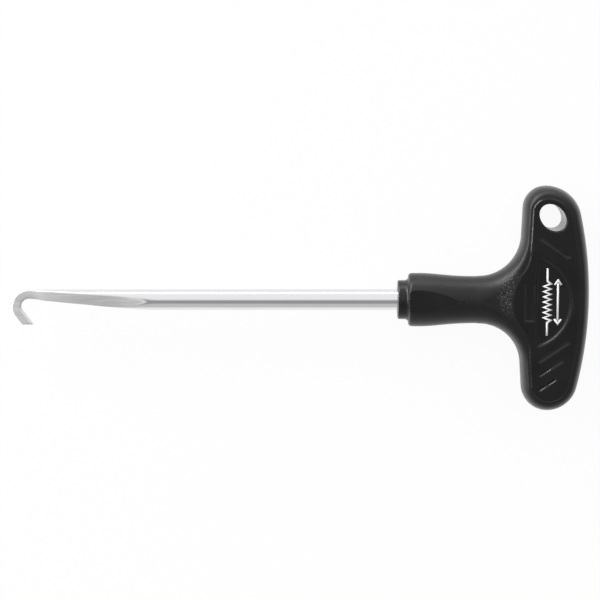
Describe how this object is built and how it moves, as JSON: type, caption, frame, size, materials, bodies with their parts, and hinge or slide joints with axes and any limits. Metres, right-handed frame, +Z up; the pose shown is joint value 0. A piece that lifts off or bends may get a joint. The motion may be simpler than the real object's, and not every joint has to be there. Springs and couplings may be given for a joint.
{
  "type": "spring puller",
  "caption": "T-handled spring puller: a ground steel hook on a round shank, moulded into a black plastic handle with grip grooves and a hanging hole.",
  "frame": {"origin": "under the centre of the tool's box, on the surface it lies on", "axes": "+X along the shank from the hook to the handle, +Y along the handle's bar towards the hanging hole, +Z up from the face it lies on"},
  "size_m": [0.165, 0.0646, 0.0138],
  "materials": {
    "bright_steel": "bright plated shank, satin ground blade and hook",
    "black_plastic": "moulded, fine grain with smooth panels"
  },
  "bodies": {
    "root": {"hook_shank": "bright_steel", "handle": "black_plastic"}
  },
  "joints": []
}
